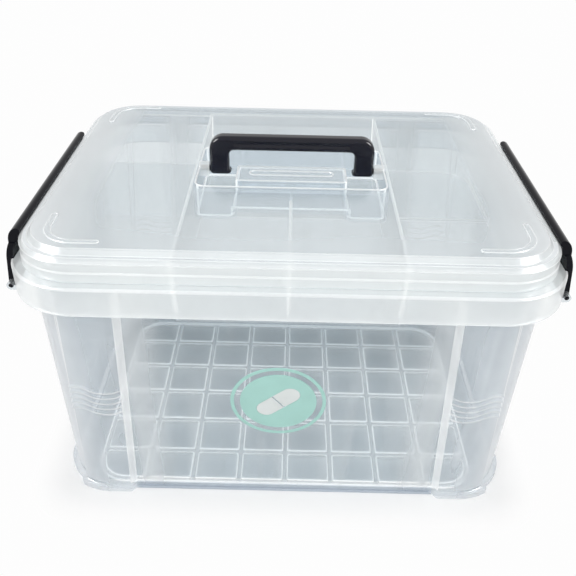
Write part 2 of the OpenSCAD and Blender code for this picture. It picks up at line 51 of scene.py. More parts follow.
LID_Z, FLANGE_Z, PANEL_Z, WELL_Z, POCKET_Z, BRIDGE_Z = 182.35, 196.25, 199.45, 184.25, 178.25, 194.45
PANEL_IN, PANEL_EDGE, WELL_A, WELL_B, WELL_R = 5.0, 7.56, 59.7, 31.4, 6.0
MIDDLE, BRIDGE_HALF, BRIDGE_R, POCKET_B, POCKET_R = 36.0, 11.5, 2.0, WELL_B - 0.6, 4.0
POCKET_HALF = (WELL_A - MIDDLE) / 2
POCKET_MID = MIDDLE + POCKET_HALF
TRAY_Z, TRAY_FLOOR, TRAY_TOP, TRAY_T = 152.0, 153.6, 192.95, 1.6
TRAY_A, TRAY_B, TRAY_R = 145.8, 113.4, 29.2
TRAY_FA, TRAY_FB, TRAY_FR = 140.8, 103.4, 25.2
DIVIDER_X, CROSS_Y, WELL_FRONT, LOW_FRONT, UNDER_WELL = 64.0, 16.0, 35.7, 36.0, 174.45
HANDLE_HALF, HANDLE_TOP, HANDLE_FOOT, HANDLE_Z, HANDLE_PIN_R = 53.0, 220.55, 195.35, 197.55, 2.0
LATCH_IN, LATCH_X, LATCH_Z, LATCH_Y = 154.35, 157.35, 166.0, -16.0
LATCH_HALF, HOOK_HALF, RECESS_X, RECESS_HALF, EAR_T = 78.0, 73.0, 154.0, 78.3, 4.0
LATCH_PIN_R, BARREL_R, PIN_GAP = 1.4, 2.4, 0.06

# Numbers of the materials on the faces of the tub, the lid and the tray
PLAIN, EDGED, BANDED, PADDED, FOOTED, RIDGED, SOLED = range(7)
FAR_OFF, IN_WELL = 3, 4
DIVIDING = 2

ACROSS = (1, 0, 0)


# Mesh helpers

def new_object(name, verts, faces, slots=None, smooth=28):
    """A mesh from points in mm; its edges steeper than smooth, in degrees, stay sharp"""
    mesh = bpy.data.meshes.new(name)
    mesh.from_pydata([(x * MM, y * MM, z * MM) for x, y, z in verts], [], faces)
    if slots:
        mesh.polygons.foreach_set("material_index", slots)
    obj = bpy.data.objects.new(name, mesh)
    bpy.context.scene.collection.objects.link(obj)
    bm = bmesh.new()
    bm.from_mesh(mesh)
    bmesh.ops.remove_doubles(bm, verts=bm.verts, dist=1e-7)
    bmesh.ops.dissolve_degenerate(bm, edges=bm.edges, dist=1e-7)
    bmesh.ops.recalc_face_normals(bm, faces=bm.faces)
    bm.to_mesh(mesh)
    bm.free()
    mesh.shade_smooth()
    mesh.set_sharp_from_angle(angle=math.radians(smooth))
    return obj


def skin(rows, n, ring=True, loop=False, base=0):
    """Faces between rows of n points; ring joins the ends of a row, loop the last row to the first"""
    return [(base + i * n + j, base + i * n + (j + 1) % n,
             base + (i + 1) % rows * n + (j + 1) % n, base + (i + 1) % rows * n + j)
            for i in range(rows if loop else rows - 1) for j in range(n if ring else n - 1)]


def caps(rows, n):
    return [tuple(range(n - 1, -1, -1)), tuple(range((rows - 1) * n, rows * n))]


def loft(name, loops, mark=None, smooth=28):
    """A closed body whose surface runs through the loops in turn"""
    n, m = len(loops[0]), len(loops)
    slots = [mark(i, j) if mark else 0 for i in range(m - 1) for j in range(n)] + [0, 0]
    return new_object(name, [p for loop in loops for p in loop], skin(m, n) + caps(m, n), slots, smooth)


def circle(r, x=0, n=24):
    return [(x + r * math.cos(2 * math.pi * k / n), r * math.sin(2 * math.pi * k / n)) for k in range(n)]


def arc(cx, cy, r, angles, z):
    return [(cx + r * math.cos(math.radians(t)), cy + r * math.sin(math.radians(t)), z) for t in angles]


def whole(q):
    return (q + [(-x, y, z) for x, y, z in reversed(q)] + [(-x, -y, z) for x, y, z in q]
            + [(x, -y, z) for x, y, z in reversed(q)])


def plain_loop(a, b, r, z, steps=18):
    return whole(arc(a - r, b - r, r, [90 * i / steps for i in range(steps + 1)], z))


def edge_loop(d, z):
    return plain_loop(EDGE_A + d, EDGE_B + d, LID_R + d, z)


def rounded(points, radii, steps=4):
    """A polyline of (d, z) points with its inner corners rounded"""
    out = [points[0]]
    for i in range(1, len(points) - 1):
        p, a, b = (Vector(points[j]) for j in (i, i - 1, i + 1))
        u, v = (a - p), (b - p)
        r = radii[i - 1]
        turn = u.angle(v)
        reach = min(r / math.tan(turn / 2), u.length * 0.48, v.length * 0.48) if r else 0
        if not reach:
            out.append(tuple(p))
            continue
        r = reach * math.tan(turn / 2)
        u.normalize(), v.normalize()
        centre = p + (u + v).normalized() * (r / math.sin(turn / 2))
        s, e = p + u * reach - centre, p + v * reach - centre
        sweep = s.angle_signed(e)
        for k in range(steps + 1):
            t = -sweep * k / steps
            c, w = math.cos(t), math.sin(t)
            out.append((centre[0] + s[0] * c - s[1] * w, centre[1] + s[0] * w + s[1] * c))
    return out + [points[-1]]


def combine(target, tool, operation):
    mod = target.modifiers.new("combine", "BOOLEAN")
    mod.operation, mod.object, mod.solver = operation, tool, "EXACT"
    settle(target)
    bpy.data.objects.remove(tool)


def settle(obj):
    """Applies the modifiers"""
    bpy.context.view_layer.update()
    done = obj.evaluated_get(bpy.context.evaluated_depsgraph_get())
    mesh = bpy.data.meshes.new_from_object(done)
    old = obj.data
    obj.modifiers.clear()
    obj.data = mesh
    bpy.data.meshes.remove(old)


def soften(obj, width, segments=2, angle=34, slot=0, smooth=50, near=None, tidy=False):
    """Rounds the sharp edges left by the cuts, or those of them that near() picks"""
    bm = bmesh.new()
    bm.from_mesh(obj.data)
    bmesh.ops.remove_doubles(bm, verts=bm.verts, dist=2e-6)
    if not near or tidy:
        bmesh.ops.dissolve_limit(bm, angle_limit=math.radians(0.4), verts=bm.verts, edges=bm.edges)
    sharp = [e for e in bm.edges if len(e.link_faces) == 2 and e.calc_face_angle() > math.radians(angle)
             and (not near or all(near(v.co / MM) for v in e.verts))]
    bmesh.ops.bevel(bm, geom=sharp, offset=width * MM, segments=segments, profile=0.5, affect="EDGES",
                    clamp_overlap=True, material=slot, offset_type="OFFSET")
    bm.to_mesh(obj.data)
    bm.free()
    obj.data.shade_smooth()
    obj.data.set_sharp_from_angle(angle=math.radians(smooth))
    mod = obj.modifiers.new("weighted", "WEIGHTED_NORMAL")
    mod.keep_sharp = True
    settle(obj)


def prism(name, outline, z0, z1):
    n = len(outline)
    verts = [(x, y, z) for z in (z0, z1) for x, y in outline]
    return new_object(name, verts, skin(2, n) + caps(2, n))


def wedge(name, low, high, z0, z1):
    """A box whose plan changes from low to high; each plan is x0, x1, y0, y1"""
    verts = [(x, y, z) for (x0, x1, y0, y1), z in ((low, z0), (high, z1))
             for x, y in ((x0, y0), (x1, y0), (x1, y1), (x0, y1))]
    faces = [(3, 2, 1, 0), (4, 5, 6, 7)] + [(j, (j + 1) % 4, 4 + (j + 1) % 4, 4 + j) for j in range(4)]
    return new_object(name, verts, faces)


def block(name, a, b, r, z0, z1, x=0, y=0, steps=8):
    outline = [(px + x, py + y) for px, py, _ in plain_loop(a, b, r, 0, steps)]
    return prism(name, outline, z0, z1)


def highlight_rods(name, lines, r, sides=8):
    """Painted highlights: round rods along lines of (points, closed), where clear plastic gathers light"""
    verts, faces = [], []
    for points, closed in lines:
        points = [Vector(p) for p in points]
        n, base = len(points), len(verts)
        for i, p in enumerate(points):
            after = points[(i + 1) % n] if closed or i + 1 < n else p
            before = points[i - 1] if closed or i else p
            d = (after - before).normalized()
            across = d.cross(Vector((0, 0, 1)) if abs(d.z) < 0.9 else Vector((0, 1, 0))).normalized()
            up = across.cross(d)
            turns = [2 * math.pi * k / sides for k in range(sides)]
            verts += [tuple(p + across * (r * math.cos(t)) + up * (r * math.sin(t))) for t in turns]
        faces += skin(n, sides, True, closed, base)
        if not closed:
            faces += [tuple(base + k for k in face) for face in caps(n, sides)]
    return new_object(name, verts, faces, None, 60)


# Materials

class Nodes:
    """The nodes of a material or world; a call makes one, with its values, links and settings"""

    def __init__(self, owner):
        owner.use_nodes = True
        self.tree = owner.node_tree
        self.tree.nodes.clear()

    def __call__(self, kind, inputs=None, **settings):
        node = self.tree.nodes.new("ShaderNode" + kind)
        for key, value in settings.items():
            setattr(node, key, value)
        for key, value in (inputs or {}).items():
            if isinstance(value, bpy.types.Node):
                value = value.outputs[0]
            if isinstance(value, bpy.types.NodeSocket):
                self.tree.links.new(value, node.inputs[key])
            else:
                node.inputs[key].default_value = value
        return node


def node_material(name):
    mat = bpy.data.materials.new(name)
    return mat, Nodes(mat)


def clear_plastic(name, milk, tint, colour, gloss_rough, swirl=0.0, sheen=0.55, shine=0.04, painted_glow=0.0,
                  streak=0.0, ramps=(), painted_back_shade=None):
    """Thin clear plastic: what is behind it, a little milk in it, gloss on it, and a painted glow, an emission that
    stands in for light its edges seem to carry.
    Each ramp is more milk by the distance to the side or to the front; painted_back_shade is a second, darker tint
    towards the back, painted shade"""
    mat, add = node_material(name)
    place = add("TexCoord").outputs["Object"]
    axes = add("SeparateXYZ", {0: place}).outputs
    through = (*tint, 1)
    # painted shade: the see-through tint darkens towards the back
    if painted_back_shade:
        backward = add("MapRange", {"Value": axes["Y"], "From Max": 0.10}, interpolation_type="SMOOTHSTEP")
        through = add("MixRGB", {0: backward, 1: (*tint, 1), 2: (*painted_back_shade, 1)})
    see = add("BsdfTransparent", {"Color": through})
    # the emission is painted light: a glow on a part that is no lamp
    body = add("BsdfPrincipled", {"Base Color": (*colour, 1), "Roughness": 0.45, "Specular IOR Level": 0.2,
                                  "Emission Color": (*colour, 1), "Emission Strength": painted_glow})
    facing = add("LayerWeight", {"Blend": 0.5}).outputs["Facing"]
    # cloudiness: more where the wall is seen edge-on, and a slow drift from the moulding
    clouds = add("TexNoise", {"Vector": place, "Scale": 14, "Detail": 3})
    drift = add("MapRange", {"Value": clouds, "From Min": 0.3, "From Max": 0.7,
                             "To Min": milk * (1 - swirl), "To Max": milk * (1 + swirl)})
    # upright streaks, from light caught in the wall
    stretch = add("Mapping", {"Vector": place, "Scale": (1, 1, 0.04)})
    lines = add("TexNoise", {"Vector": stretch, "Scale": 55, "Detail": 2})
    streaks = add("MapRange", {"Value": lines, "From Min": 0.5, "From Max": 0.72, "To Max": streak},
                  interpolation_type="SMOOTHSTEP")
    hazy = add("Math", {0: drift, 1: streaks}, operation="ADD")
    for axis, more, start, full, stop in ramps:
        reach = add("Math", {0: axes[axis], 1: -1}, operation="ABSOLUTE" if axis == "X" else "MULTIPLY")
        ramp = add("ValToRGB", {0: add("Math", {0: reach, 1: stop}, operation="DIVIDE")})
        ramp.color_ramp.interpolation = "EASE"
        stops = ramp.color_ramp.elements
        stops[0].position, stops[0].color = start / stop, (0, 0, 0, 1)
        stops[1].position, stops[1].color = full / stop, (1, 1, 1, 1)
        stops.new(1.0).color = (0, 0, 0, 1)
        hazy = add("Math", {0: ramp, 1: more, 2: hazy}, operation="MULTIPLY_ADD")
    steep = add("Math", {0: facing, 1: 3}, operation="POWER")
    cloud = add("Math", {0: steep, 1: 0.45, 2: hazy}, operation="MULTIPLY_ADD", use_clamp=True)
    inside = add("MixShader", {0: cloud, 1: see, 2: body})
    # gloss, on the slow waves of the moulded surface
    wave = add("TexNoise", {"Vector": place, "Scale": 38, "Detail": 1})
    bump = add("Bump", {"Strength": 0.25, "Distance": 0.0015, "Height": wave})
    gloss = add("BsdfGlossy", {"Color": (1, 1, 1, 1), "Roughness": gloss_rough, "Normal": bump})
    mirror = add("Math", {0: facing, 1: 5}, operation="POWER")
    share = add("Math", {0: mirror, 1: sheen, 2: shine}, operation="MULTIPLY_ADD", use_clamp=True)
    add("OutputMaterial", {"Surface": add("MixShader", {0: share, 1: inside, 2: gloss})})
    return mat


WALL = clear_plastic("clear_wall", 0.03, (0.905, 0.93, 0.945), (0.88, 0.90, 0.91), 0.08, 0.25, streak=0.10,
                     ramps=[("X", 0.30, 0.066, 0.092, 0.105)])
PAD = clear_plastic("clear_pad", 0.19, (0.928, 0.948, 0.966), (0.90, 0.93, 0.96), 0.08, 0.25, streak=0.10,
                    ramps=[("X", 0.30, 0.112, 0.138, 0.155)])
LIDS = clear_plastic("clear_lid", 0.07, (0.95, 0.965, 0.97), (0.90, 0.93, 0.945), 0.14, 0.2,
                     ramps=[("X", 0.45, 0.104, 0.142, 0.5), ("Y", 0.16, 0.040, 0.108, 0.5)])
TRAY = clear_plastic("clear_tray", 0.09, (0.94, 0.955, 0.96), (0.88, 0.905, 0.915), 0.12, 0.2)
DIVIDER = clear_plastic("clear_divider", 0.32, (0.95, 0.96, 0.965), (0.92, 0.935, 0.94), 0.12, 0.2)
# EDGE, BEAD, BAND, GRID, LINE and BAR have a painted glow, emission that stands in for light on edges and lines
EDGE = clear_plastic("clear_edge", 0.50, (0.97, 0.98, 0.985), (0.93, 0.945, 0.95), 0.25, 0.15, 0.4, 0.15, 0.15)
SOFT = clear_plastic("clear_soft", 0.22, (0.97, 0.98, 0.985), (0.92, 0.94, 0.945), 0.2, 0.15, 0.4)
BEAD = clear_plastic("clear_bead", 0.38, (0.97, 0.98, 0.985), (0.93, 0.945, 0.95), 0.25, 0.15, 0.4, 0.15, 0.1)
BAND = clear_plastic("clear_band", 0.32, (0.96, 0.97, 0.972), (0.93, 0.95, 0.95), 0.2, 0.12, 0.4, 0.06, 0.12)
# A darker copy of the lid's edge plastic for its back edge: painted shade
FAR = clear_plastic("clear_far", 0.04, (0.70, 0.75, 0.785), (0.62, 0.70, 0.74), 0.15, 0.15, 0.3)
NICHE = clear_plastic("clear_niche", 0.12, (0.945, 0.967, 0.985), (0.87, 0.92, 0.96), 0.12, 0.2)
# A darker tint for the front of the foot: painted shade
FOOT = clear_plastic("clear_foot", 0.06, (0.71, 0.75, 0.80), (0.64, 0.70, 0.76), 0.15, 0.15, 0.4)
# The tub's floor, with painted shade: its tint darkens towards the back
SOLE = clear_plastic("clear_sole", 0.03, (0.93, 0.95, 0.962), (0.88, 0.90, 0.91), 0.08, 0.25,
                     painted_back_shade=(0.73, 0.775, 0.80))
# GRID, LINE and BAR: the strongest painted glow, for the bright lines of the floor grid, the well and the dividers
GRID = clear_plastic("clear_grid", 0.78, (0.97, 0.975, 0.975), (0.97, 0.93, 0.90), 0.25, 0.1, 0.4, 0.1, 0.75)
LINE = clear_plastic("clear_line", 0.70, (0.97, 0.98, 0.985), (0.95, 0.96, 0.96), 0.25, 0.1, 0.4, 0.1, 0.35)
BAR = clear_plastic("clear_bar", 0.34, (0.96, 0.965, 0.965), (0.95, 0.925, 0.90), 0.2, 0.15, 0.4, 0.06, 0.3)


def solid_plastic(name, colour, rough, gloss=0.3):
    """Opaque plastic or ink, with a little grain in its colour, gloss and surface"""
    mat, add = node_material(name)
    place = add("TexCoord").outputs["Object"]
    grain = add("TexNoise", {"Vector": place, "Scale": 60, "Detail": 4})
    fine = add("TexNoise", {"Vector": place, "Scale": 900})
    body = add("BsdfPrincipled", {
        "Base Color": add("MixRGB", {0: grain, 1: (*[c * 0.9 for c in colour], 1),
                                     2: (*[min(1, c * 1.1) for c in colour], 1)}),
        "Roughness": add("MapRange", {"Value": grain, "To Min": rough * 0.8, "To Max": rough * 1.3}),
        "Normal": add("Bump", {"Strength": 0.08, "Distance": 0.0004, "Height": fine}),
        "Specular IOR Level": gloss})
    add("OutputMaterial", {"Surface": body})
    return mat


BLACK = solid_plastic("black_plastic", (0.005, 0.005, 0.012), 0.12, 0.35)
LATCH_BLACK = solid_plastic("black_latch_plastic", (0.005, 0.005, 0.008), 0.12, 0.1)
TEAL_INK = solid_plastic("teal_ink", (0.42, 0.70, 0.64), 0.5)
PALE_INK = solid_plastic("pale_ink", (0.76, 0.80, 0.79), 0.5)


def dress(obj, *mats):
    """Gives a piece its materials, once: its faces keep their numbers"""
    if not obj.data.materials:
        for mat in mats:
            obj.data.materials.append(mat)


def remark(obj, rule):
    """Sets each face's material number by rule(middle in mm, normal, number)"""
    for face in obj.data.polygons:
        face.material_index = rule(face.center / MM, face.normal, face.material_index)


def finish_piece(obj, body, node, slot, *mats):
    dress(obj, *mats)
    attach(obj, body)
    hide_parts(node)


# Tub

def ease(t):
    return t * t * (3 - 2 * t)


def wall_half(z):
    return WALL_B - DRAFT * (1 - (z - FOOT_Z) / (TOP_Z - FOOT_Z))


def pad_x(z):
    return PAD_FOOT + (PAD_TOP - PAD_FOOT) * (z - FOOT_Z) / (TOP_Z - FOOT_Z)


# Points of a quarter of the tub's outline: end wall arc, corner step, pad arc, flat pad and panel step
QUARTER = [("end", i / 13) for i in range(13)]
QUARTER += [("corner", i / 6) for i in range(7)]
QUARTER += [("pad", i / 9, i / 9 * 0.6) for i in range(1, 10)]
QUARTER += [("flat", i / 13, 0.6 + 0.4 * i / 13) for i in range(1, 13)]
QUARTER += [("step", i / 7) for i in range(8)]
Q = len(QUARTER)
KIND = [p[0] for p in QUARTER]
CORNER_LINES = (KIND.index("corner"), KIND.index("pad") - 2)
AROUND = (list(range(Q)) + list(range(Q - 1, -1, -1))) * 2


def corner_turn(p, z):
    """The angle of a point of the round corner; its step leans back towards the foot"""
    s = min(1, (z - FOOT_Z) / (TOP_Z - FOOT_Z))
    start, stop = 52 + 8 * s, 58 + 13 * s
    low, high = {"end": (0, start), "corner": (start, stop), "pad": (stop, 90)}[p[0]]
    return math.radians(low + (high - low) * p[1])


def turn(share, waves):
    """The rise and fall of a grip ridge along the pad"""
    return waves * GRIP_WAVE * math.sin(share * 2 * math.pi)


def tub_loop(z, inset, bump=0.0, waves=0.0, ends=0.0, flat_z=None):
    """The tub's outline at z, moved in by inset; bump and waves are a grip ridge's, ends pushes the end walls out"""
    a = WALL_A - inset + ends
    b = wall_half(z) - inset - PROUD
    r = WALL_R - inset
    cx, cy = a - r, b - r
    x = pad_x(z) - inset * 0.4
    pad_end = x + PAD_SLOPE
    q = []
    for p in QUARTER:
        if p[0] in ("end", "corner", "pad"):
            out, rise = 0.0, 0.0
            if p[0] == "corner":
                out = (PROUD + bump * p[1]) * ease(p[1])
            if p[0] == "pad":
                out, rise = PROUD + bump, turn(p[2], waves)
            t = corner_turn(p, z)
            q.append((cx + (r + out) * math.cos(t), cy + (r + out) * math.sin(t), z + rise))
        elif p[0] == "flat":
            out = PROUD + bump * min(1, 4 * (1 - p[1]))
            q.append((cx + (pad_end - cx) * p[1], b + out, z + turn(p[2], waves)))
        else:
            q.append((pad_end - PAD_SLOPE * p[1], b + PROUD * (1 - ease(p[1])), z))
    if flat_z is not None:
        q = [(px, py, flat_z) for px, py, _ in q]
    return whole(q)


def rim_loop(d, z):
    """The rim's outline, with as many points as the tub's"""
    b, r = EDGE_B + d, LID_R + d
    cx = EDGE_A + d - r
    x = pad_x(min(z, TOP_Z))
    q = []
    for p in QUARTER:
        if p[0] in ("end", "corner", "pad"):
            t = corner_turn(p, z)
            q.append((cx + r * math.cos(t), b - r + r * math.sin(t), z))
        elif p[0] == "flat":
            q.append((cx + (x + PAD_SLOPE - cx) * p[1], b, z))
        else:
            q.append((x + PAD_SLOPE * (1 - p[1]), b, z))
    return whole(q)


def foot_loop(d, ends, z):
    return tub_loop(FOOT_Z, -d, ends=ends, flat_z=z)


loops, tags = [], []


def put(tag, *more):
    for loop in more:
        loops.append(loop)
        tags.append(tag)


ENDS = FOOT_OUT - FOOT_LIP
put("under", foot_loop(-TUB_T, 0, UNDER_Z))
for d, z in rounded([(-TUB_T, UNDER_Z), (-TUB_T, 0), (FOOT_LIP, 0), (FOOT_LIP, FOOT_H), (FOOT_LIP, FOOT_H + 0.01)],
                    [0.7, 0.9, 0], 3)[1:-1]:
    put("foot", foot_loop(d, ENDS * min(1, max(0, (d + TUB_T) / (FOOT_LIP + TUB_T))), z))
for t in (0.25, 0.5, 0.75):
    put("foot", tub_loop(FOOT_Z, -FOOT_LIP * (1 - t) ** 2, ends=ENDS * (1 - t) ** 2,
                         flat_z=FOOT_H + 0.2 + (FOOT_Z - FOOT_H - 0.2) * t ** 1.5))
put("wall", tub_loop(FOOT_Z + 0.6, 0))
for i in range(1, 8):
    put("wall", tub_loop(FOOT_Z + (GRIP_Z - 4 - FOOT_Z) * i / 7, 0))
PER = 8
for i in range(GRIPS * PER + 1):
    t = i / PER % 1
    bump = GRIP_PROUD * max(0.0, math.sin(math.pi * min(1, max(0, (t - 0.15) / 0.7))))
    put("ridge" if bump > 0.5 * GRIP_PROUD else "wall", tub_loop(GRIP_Z + i * GRIP_PITCH / PER, 0, bump, 1))
grips_end = GRIP_Z + GRIPS * GRIP_PITCH
for i in range(8):
    put("wall", tub_loop(grips_end + 4 + (TOP_Z - grips_end - 4) * i / 7, 0))
rim = rounded([(-LIP_IN, LEDGE - TUB_T), (RIM_OUT - TUB_T, LEDGE - TUB_T), (RIM_OUT - TUB_T, SKIRT_Z),
               (RIM_OUT, SKIRT_Z), (RIM_OUT, LEDGE), (-LIP_IN, LEDGE), (-LIP_IN, LIP_TOP),
               (-LIP_IN - TUB_T, LIP_TOP), (-LIP_IN - TUB_T, LEDGE - TUB_T)], [1.6, 0.8, 0.9, 1.4, 0.8, 0.8, 0.8], 4)
for (d, z), after in zip(rim, rim[1:] + rim[-1:]):
    (d0, z0), (_, z1) = sorted([(d, z), after])
    edge = (max(z0, z1) < SKIRT_Z + 1.2 or (d0 > RIM_OUT - 1.6 and min(z0, z1) > LEDGE - 1.6)
            or min(z0, z1) > LIP_TOP - 1)
    put("edge" if edge else "rim", rim_loop(d, z))
for i in range(8):
    put("inside", tub_loop(TOP_Z + (FLOOR_Z + 5 - TOP_Z) * i / 7, TUB_T))
FLOOR_R = 4
for t in (15, 30, 45, 60, 75, 90):
    s, c = math.sin(math.radians(t)), math.cos(math.radians(t))
    put("inside", tub_loop(FLOOR_Z + FLOOR_R * (1 - s), TUB_T + FLOOR_R * (1 - c)))


def tub_mark(i, j):
    """The material's number of the face between loops i and i + 1 at point j"""
    here, there = AROUND[j], AROUND[(j + 1) % len(AROUND)]
    strip = min(here, there)
    kind = "panel" if here == there == Q - 1 else KIND[strip]
    tag, after = tags[i], tags[i + 1]
    if tag in ("edge", "rim"):
        return EDGED if tag == "edge" else BANDED
    if tag == after == "foot":
        return FOOTED
    if tag in ("wall", "ridge") and after in ("wall", "ridge") and kind != "panel":
        if kind == "step" or strip in CORNER_LINES:
            return EDGED
        return RIDGED if tag == after == "ridge" and kind in ("pad", "flat") else PADDED
    return PLAIN


def round_prism(name, x, z, r, y0, y1):
    """A round bar along Y"""
    return laid(prism(name, circle(r, x), y0, y1), z)


def laid(obj, z):
    """Turns a prism drawn in X and Z, as long as its own Z, to lie along Y"""
    obj.data.transform(Matrix(((1, 0, 0, 0), (0, 0, 1, 0), (0, 1, 0, z * MM), (0, 0, 0, 1))))
    obj.data.flip_normals()
    return obj


def along_x(obj, z):
    """Turns a prism drawn in Y and Z to lie along X"""
    obj.data.transform(Matrix(((0, 0, 1, 0), (1, 0, 0, 0), (0, 1, 0, z * MM), (0, 0, 0, 1))))
    return obj


def mirrored(obj, axis):
    obj.data.transform(Matrix.Scale(-1, 4, axis))
    obj.data.flip_normals()
    return obj


def skirt_x(y):
    r = LID_R + RIM_OUT
    bend = max(0.0, abs(y) - (EDGE_B + RIM_OUT - r))
    return EDGE_A + RIM_OUT - r + math.sqrt(r * r - bend * bend)


def recess_wall():
    """The wall behind the right latch and its two ends, which reach into the skirt"""
    y0, y1, t = LATCH_Y - RECESS_HALF, LATCH_Y + RECESS_HALF, TUB_T
    front, back = skirt_x(y0 - t) - t / 2, skirt_x(y1 + t) - t / 2
    plan = [(RECESS_X - t, y0 - t), (front, y0 - t), (front, y0), (RECESS_X, y0), (RECESS_X, y1), (back, y1),
            (back, y1 + t), (RECESS_X - t, y1 + t)]
    return prism("recess_wall", plan, SKIRT_Z, LEDGE - t / 2)


def ear(y):
    """A hinge ear of the right latch, still without its bore"""
    r = BARREL_R
    root = skirt_x(abs(y) + EAR_T / 2) - TUB_T - 0.6
    outline = [(root, -r), (LATCH_X, -r)]
    outline += [(LATCH_X + r * math.sin(math.radians(t)), -r * math.cos(math.radians(t))) for t in range(12, 180, 12)]
    outline += [(LATCH_X, r), (root, r)]
    return laid(prism("ear", outline, y - EAR_T / 2, y + EAR_T / 2), LATCH_Z)


def near_latch(p):
    return (abs(p.x) > RECESS_X - TUB_T - 0.1 and p.z > SKIRT_Z - 0.1
            and abs(p.y - LATCH_Y) < RECESS_HALF + EAR_T + 0.1)


def make_tub():
    tub = loft("tub_shell", loops, tub_mark, 40)
    dress(tub, WALL, EDGE, BAND, PAD, FOOT, BEAD, SOLE)
    ears = [LATCH_Y + sign * (RECESS_HALF + EAR_T / 2) for sign in (-1, 1)]
    bore = EAR_T / 2 + CLEAR
    for side in (1, -1):
        half = RIM_OUT / 2
        cut = block("recess", half, RECESS_HALF, 0.1, SKIRT_Z - 1, LEDGE + 1, RECESS_X + half, LATCH_Y, 1)
        parts = [cut, recess_wall()] + [ear(y) for y in ears]
        parts += [round_prism("bore", LATCH_X, LATCH_Z, LATCH_PIN_R + PIN_GAP, y - bore, y + bore) for y in ears]
        if side < 0:
            parts = [mirrored(part, ACROSS) for part in parts]
        for part, operation in zip(parts, ("DIFFERENCE", "UNION", "UNION", "UNION", "DIFFERENCE", "DIFFERENCE")):
            combine(tub, part, operation)
    soften(tub, 0.3, 2, 50, EDGED, 40, near_latch)
    remark(tub, tub_rule)
    return tub


def tub_rule(middle, normal, number):
    """The floor has a tint of its own, with painted shade towards the back; the rim and the pads are clear at the
    back, so the rim's painted glow shows in front only; the foot is dark in front only, painted shade
    """
    back_rim, back_pads, foot_end = 108, 60, 98
    if number == PLAIN and abs(normal.z) > 0.9 and middle.z < FLOOR_Z + 1:
        return SOLED
    if (number == BANDED and middle.y > back_rim) or (number == PADDED and middle.y > back_pads):
        return PLAIN
    # the foot's darker tint, painted shade, stays at the front
    return PADDED if number == FOOTED and (abs(middle.x) > foot_end or middle.y > 0) else number


finish_piece(make_tub(), "tub_body", "tub", "clear_tub")


def cell_loop(x0, x1, y0, y1, radii, z, steps=5):
    """A cell's outline with its own radius at each corner, counter-clockwise from +X +Y"""
    out = []
    for (cx, cy, sx, sy, start), r in zip(
            ((x1, y1, -1, -1, 0), (x0, y1, 1, -1, 90), (x0, y0, 1, 1, 180), (x1, y0, -1, 1, 270)), radii):
        for i in range(steps + 1):
            t = math.radians(start + 90 * i / steps)
            out.append((cx + sx * r + r * math.cos(t), cy + sy * r + r * math.sin(t), z))
    return out


def floor_grid():
    """Bars under the floor: each cell has a fillet, a side wall and the underside of its bars"""
    ring_a, ring_b, w = WALL_A - RING_IN, WALL_B - DRAFT - PROUD - 3, BAR_W
    columns, lines = (math.floor(half / GRID_PITCH - 0.5) for half in (ring_a, ring_b))
    xs = [-ring_a] + [i * GRID_PITCH for i in range(-columns, columns + 1)] + [ring_a]
    ys = [-ring_b] + [i * GRID_PITCH for i in range(-lines, lines + 1)] + [ring_b]
    z1, z0, n = UNDER_Z, UNDER_Z - BAR_DROP, 24
    verts, faces, slots = [], [], []
    for i in range(len(xs) - 1):
        for j in range(len(ys) - 1):
            x0, x1, y0, y1 = xs[i], xs[i + 1], ys[j], ys[j + 1]
            first, last = i == 0, i == len(xs) - 2
            low, high = j == 0, j == len(ys) - 2
            corner = [last and high, first and high, first and low, last and low]
            cell = (x0 + (w if first else w / 2), x1 - (w if last else w / 2),
                    y0 + (w if low else w / 2), y1 - (w if high else w / 2))

            def ring(d, r, z):
                return cell_loop(cell[0] + d, cell[1] - d, cell[2] + d, cell[3] - d,
                                 [(RING_R - w if c else r) - d * c for c in corner], z)
            outer = [RING_R if c else 0.0 for c in corner]
            base = len(verts)
            verts += cell_loop(x0, x1, y0, y1, outer, z1)
            verts += cell_loop(x0, x1, y0, y1, outer, z0)
            verts += ring(-0.25, 1.2, z0) + ring(0, 1.2, z1 - 1.0) + ring(0.3, 1.4, z1 - 0.25) + ring(0.85, 1.9, z1)
            for k in range(n):
                m = (k + 1) % n
                for row, slot in ((1, 1), (2, 1), (3, 0), (4, 0)):
                    a = base + row * n
                    faces.append((a + k, a + n + k, a + n + m, a + m))
                    slots.append(slot)
                p, q = verts[base + n + k], verts[base + n + m]
                if on_ring(p, ring_a, ring_b) and on_ring(q, ring_a, ring_b):
                    faces.append((base + k, base + n + k, base + n + m, base + m))
                    slots.append(0)
    return new_object("floor_grid", verts, faces, slots, 40)


def on_ring(p, a, b):
    x, y = abs(p[0]) - (a - RING_R), abs(p[1]) - (b - RING_R)
    if x > 0 and y > 0:
        return abs(math.hypot(x, y) - RING_R) < 1e-3
    return abs(abs(p[0]) - a) < 1e-3 or abs(abs(p[1]) - b) < 1e-3


finish_piece(floor_grid(), "tub_body", "tub", "clear_tub", GRID, BAR)


# Lid

def well_loop(d, z):
    return plain_loop(WELL_A + d, WELL_B + d, WELL_R + d, z)


